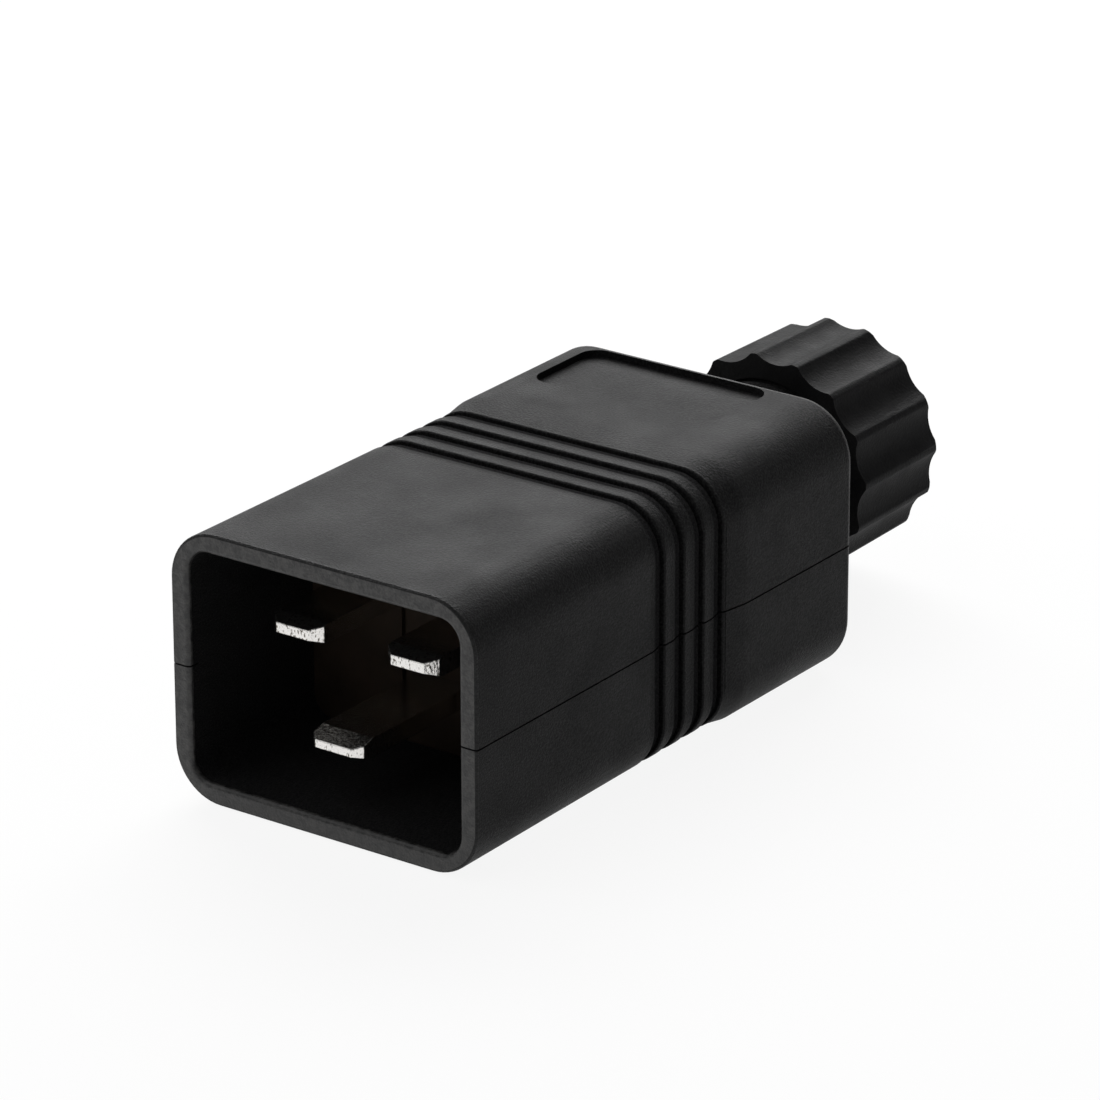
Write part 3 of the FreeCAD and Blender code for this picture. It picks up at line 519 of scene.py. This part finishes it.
def wound_ridge(start):
    """An editor on the thread's ridge, wound round the cable's axis and closed at both ends."""
    turns = THREAD_LENGTH / THREAD_PITCH
    section = ((THREAD_ROOT, -THREAD_FOOT / 2), (THREAD_CREST, -THREAD_FLAT / 2),
               (THREAD_CREST, THREAD_FLAT / 2), (THREAD_ROOT, THREAD_FOOT / 2))
    editor = bmesh.new()
    corners = [editor.verts.new((radius, start + along, AXIS_HEIGHT)) for radius, along in section]
    outline = [editor.edges.new(pair) for pair in zip(corners, corners[1:] + corners[:1])]
    wound = bmesh.ops.spin(editor, geom=[*corners, *outline], cent=(0.0, 0.0, AXIS_HEIGHT), axis=ALONG,
                           dvec=(0.0, THREAD_PITCH / THREAD_STEPS_PER_TURN, 0.0),
                           angle=turns * math.tau, steps=round(turns * THREAD_STEPS_PER_TURN),
                           use_merge=False)
    last = [part for part in wound["geom_last"] if isinstance(part, bmesh.types.BMEdge)]
    for ring in (outline, last):
        bmesh.ops.contextual_create(editor, geom=ring)
    bmesh.ops.recalc_face_normals(editor, faces=editor.faces)
    return editor


def run_out(editor, start, end):
    """Let the ridge sink into the spigot at both ends."""
    for vert in editor.verts:
        from_end = min(vert.co.y - start, end - vert.co.y) + THREAD_FOOT / 2
        radius = math.hypot(vert.co.x, vert.co.z - AXIS_HEIGHT)
        fall = max(0.0, 1.0 - from_end / THREAD_RUNOUT)
        shrink = 1.0 - fall * (radius - THREAD_ROOT) / radius
        vert.co.x *= shrink
        vert.co.z = AXIS_HEIGHT + (vert.co.z - AXIS_HEIGHT) * shrink


def spigot_thread(finish):
    """A ridge wound round the spigot up to its end."""
    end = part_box("upper_shell")[1].y - THREAD_FOOT / 2
    start = end - THREAD_LENGTH
    editor = wound_ridge(start)
    run_out(editor, start, end)
    smooth_faces(editor)
    new_piece("spigot_thread", editor, "housing", "housing_plastic", finish)


# Studio

def rays_that_see_white(tree):
    """1 for rays from the camera, from reflections and through clear pieces, and 0 for all others."""
    path = tree.nodes.new("ShaderNodeLightPath")
    seen = path.outputs["Is Camera Ray"]
    for kind in ("Is Glossy Ray", "Is Transmission Ray"):
        either = tree.nodes.new("ShaderNodeMath")
        either.operation = "MAXIMUM"
        tree.links.new(seen, either.inputs[0])
        tree.links.new(path.outputs[kind], either.inputs[1])
        seen = either.outputs["Value"]
    return seen


def floor_material():
    """Pale floor that keeps a soft shadow and stays white to the camera and in reflections."""
    material = bpy.data.materials.new("pale_floor")
    material.use_nodes = True
    tree = material.node_tree
    tree.nodes.clear()
    output = tree.nodes.new("ShaderNodeOutputMaterial")
    matte = tree.nodes.new("ShaderNodeBsdfDiffuse")
    matte.inputs["Color"].default_value = FLOOR_COLOUR
    glow = tree.nodes.new("ShaderNodeEmission")
    share = tree.nodes.new("ShaderNodeMath")
    share.operation = "MULTIPLY"
    share.inputs[1].default_value = FLOOR_GLOW_SHARE
    tree.links.new(rays_that_see_white(tree), share.inputs[0])
    mix = tree.nodes.new("ShaderNodeMixShader")
    tree.links.new(share.outputs["Value"], mix.inputs["Fac"])
    tree.links.new(matte.outputs["BSDF"], mix.inputs[1])
    tree.links.new(glow.outputs["Emission"], mix.inputs[2])
    tree.links.new(mix.outputs["Shader"], output.inputs["Surface"])
    return material


def floor():
    """A wide disc just under the plug."""
    editor = bmesh.new()
    bmesh.ops.create_circle(editor, cap_ends=True, segments=FLOOR_EDGES, radius=FLOOR_RADIUS)
    bmesh.ops.translate(editor, verts=editor.verts, vec=(0.0, 0.0, -FLOOR_GAP))
    mesh = bpy.data.meshes.new("floor")
    editor.to_mesh(mesh)
    editor.free()
    mesh.materials.append(floor_material())
    ground = bpy.data.objects.new("floor", mesh)
    bpy.context.scene.collection.objects.link(ground)


def softbox(name, azimuth, elevation, distance, width, height, power):
    """A soft lamp that faces the plug, at an azimuth from the mouth's front and an elevation, in degrees."""
    lamp = bpy.data.lights.new(name, "AREA")
    lamp.shape = "RECTANGLE"
    lamp.size = width
    lamp.size_y = height
    lamp.energy = power
    turn = math.radians(azimuth)
    rise = math.radians(elevation)
    away = Vector((math.sin(turn) * math.cos(rise), -math.cos(turn) * math.cos(rise), math.sin(rise)))
    holder = bpy.data.objects.new(name, lamp)
    holder.location = LIGHT_TARGET + away * distance
    holder.rotation_euler = away.to_track_quat("Z", "Y").to_euler()
    bpy.context.scene.collection.objects.link(holder)


def studio():
    """Dim surroundings, the floor, a lamp behind for the sheen on top and a weak one in front."""
    scene = bpy.context.scene
    scene.view_settings.view_transform = "Standard"
    world = bpy.data.worlds.new("studio")
    world.use_nodes = True
    background = world.node_tree.nodes["Background"]
    background.inputs["Color"].default_value = WORLD_COLOUR
    background.inputs["Strength"].default_value = WORLD_STRENGTH
    scene.world = world
    floor()
    softbox("sheen_box", azimuth=216.0, elevation=38.0, distance=0.8, width=0.9, height=0.6, power=11.2)
    softbox("front_box", azimuth=-35.0, elevation=45.0, distance=1.0, width=1.2, height=1.0, power=3.0)


def camera():
    """The view of the photograph."""
    lens = bpy.data.cameras.new("camera")
    lens.lens = CAMERA_LENS
    lens.sensor_width = SENSOR_WIDTH
    holder = bpy.data.objects.new("camera", lens)
    holder.location = CAMERA_PLACE
    holder.rotation_euler = Euler([math.radians(angle) for angle in CAMERA_TURN], "XYZ")
    bpy.context.scene.collection.objects.link(holder)
    bpy.context.scene.camera = holder


materials = {
    **{name: grained_plastic(name, shine) for name, shine in GRAINED_SHINES.items()},
    "rim_plastic": rim_plastic(),
    "nut_plastic": nut_plastic(),
    "insert_plastic": insert_plastic(),
    "plated_contact": plated_contact(),
    "terminal_brass": terminal_brass(),
    "screw_steel": screw_steel(),
    "collet_plastic": collet_plastic(),
    "seal_rubber": seal_rubber(),
    "slip_plastic": slip_plastic(),
}
dress_nodes(materials)
for shell in ("upper_shell", "lower_shell"):
    soft_shell(shell, materials)
for blade in ("line_pin", "neutral_pin", "earth_pin"):
    soft_blade(blade, materials["plated_contact"])
soft_nut(materials["nut_plastic"])
spigot_thread(materials["housing_plastic"])
studio()
camera()
